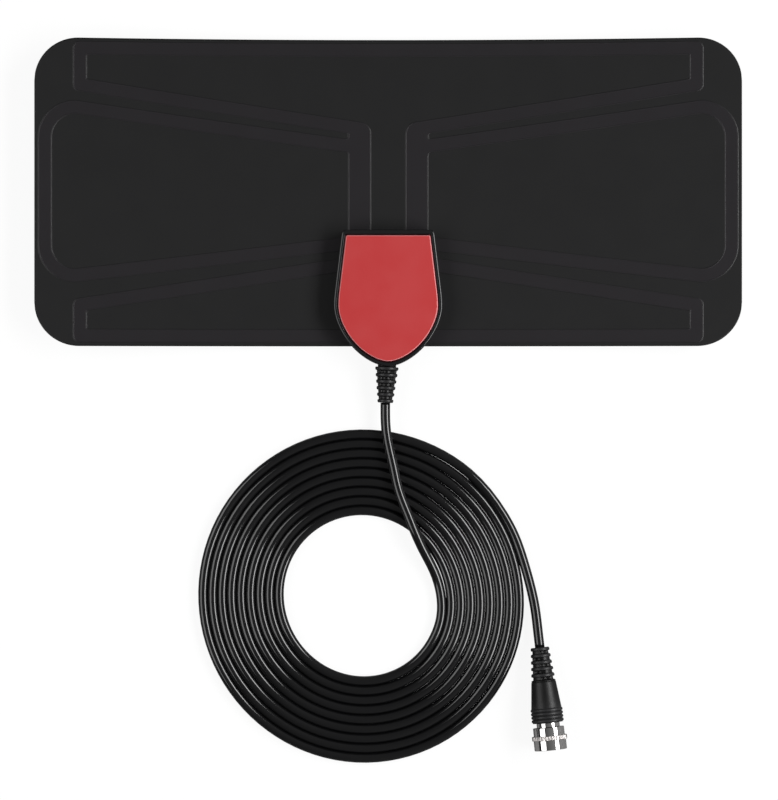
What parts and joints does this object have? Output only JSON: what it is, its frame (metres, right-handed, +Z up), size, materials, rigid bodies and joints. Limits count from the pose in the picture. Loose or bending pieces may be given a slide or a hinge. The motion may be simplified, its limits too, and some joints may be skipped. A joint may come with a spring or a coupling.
{
  "type": "tv antenna",
  "caption": "Flat black indoor TV antenna: a thin laminated sheet with foil loops inside, a red-faced housing, and a coiled coaxial lead with a screw-on coupling nut.",
  "frame": {"origin": "on the table under the middle of the sheet and housing taken together, without the lead", "axes": "+X along the sheet to the right, +Y from the lead to the top edge of the sheet, +Z up from the table through the cover plate"},
  "size_m": [0.25, 0.2593, 0.013],
  "materials": {
    "sheet_film": "matt black printed film with a faint relief",
    "sheet_back": "matt black film",
    "foil": "thin bright foil",
    "housing": "glossy black moulded plastic",
    "cover": "satin red moulded plastic",
    "board": "green laminate",
    "ferrite": "dark grey sintered ferrite",
    "copper": "enamelled copper wire",
    "contact_metal": "spring strip",
    "solder": "bright solder",
    "boot": "soft black moulding",
    "cable": "glossy black jacket",
    "nickel": "polished nickel plating",
    "insulator": "white insulation"
  },
  "bodies": {
    "antenna": {"front_film": "sheet_film", "back_film": "sheet_back", "foil_loops": "foil", "front_shell": "housing", "back_shell": "housing", "cover_plate": "cover", "circuit_board": "board", "balun_core": "ferrite", "balun_windings": "copper", "contact_left": "contact_metal", "contact_right": "contact_metal", "solder_joints": "solder", "cable_boot": "boot", "cable_stub": "cable", "coax_braid": "solder", "coax_core": "copper", "cord_lead": "cable", "cord_coil": "cable", "cord_tail": "cable", "plug_grip": "boot", "plug_stub": "cable", "connector_body": "nickel", "connector_dielectric": "insulator", "centre_pin": "copper"},
    "nut": {"coupling_nut": "nickel"}
  },
  "joints": [
    {"name": "nut_spin", "type": "hinge", "parent": "antenna", "child": "nut", "pos_m": [0.05722, -0.18986, 0.00681], "axis": [0.1005, -0.9892, 0.1065], "continuous": true}
  ]
}
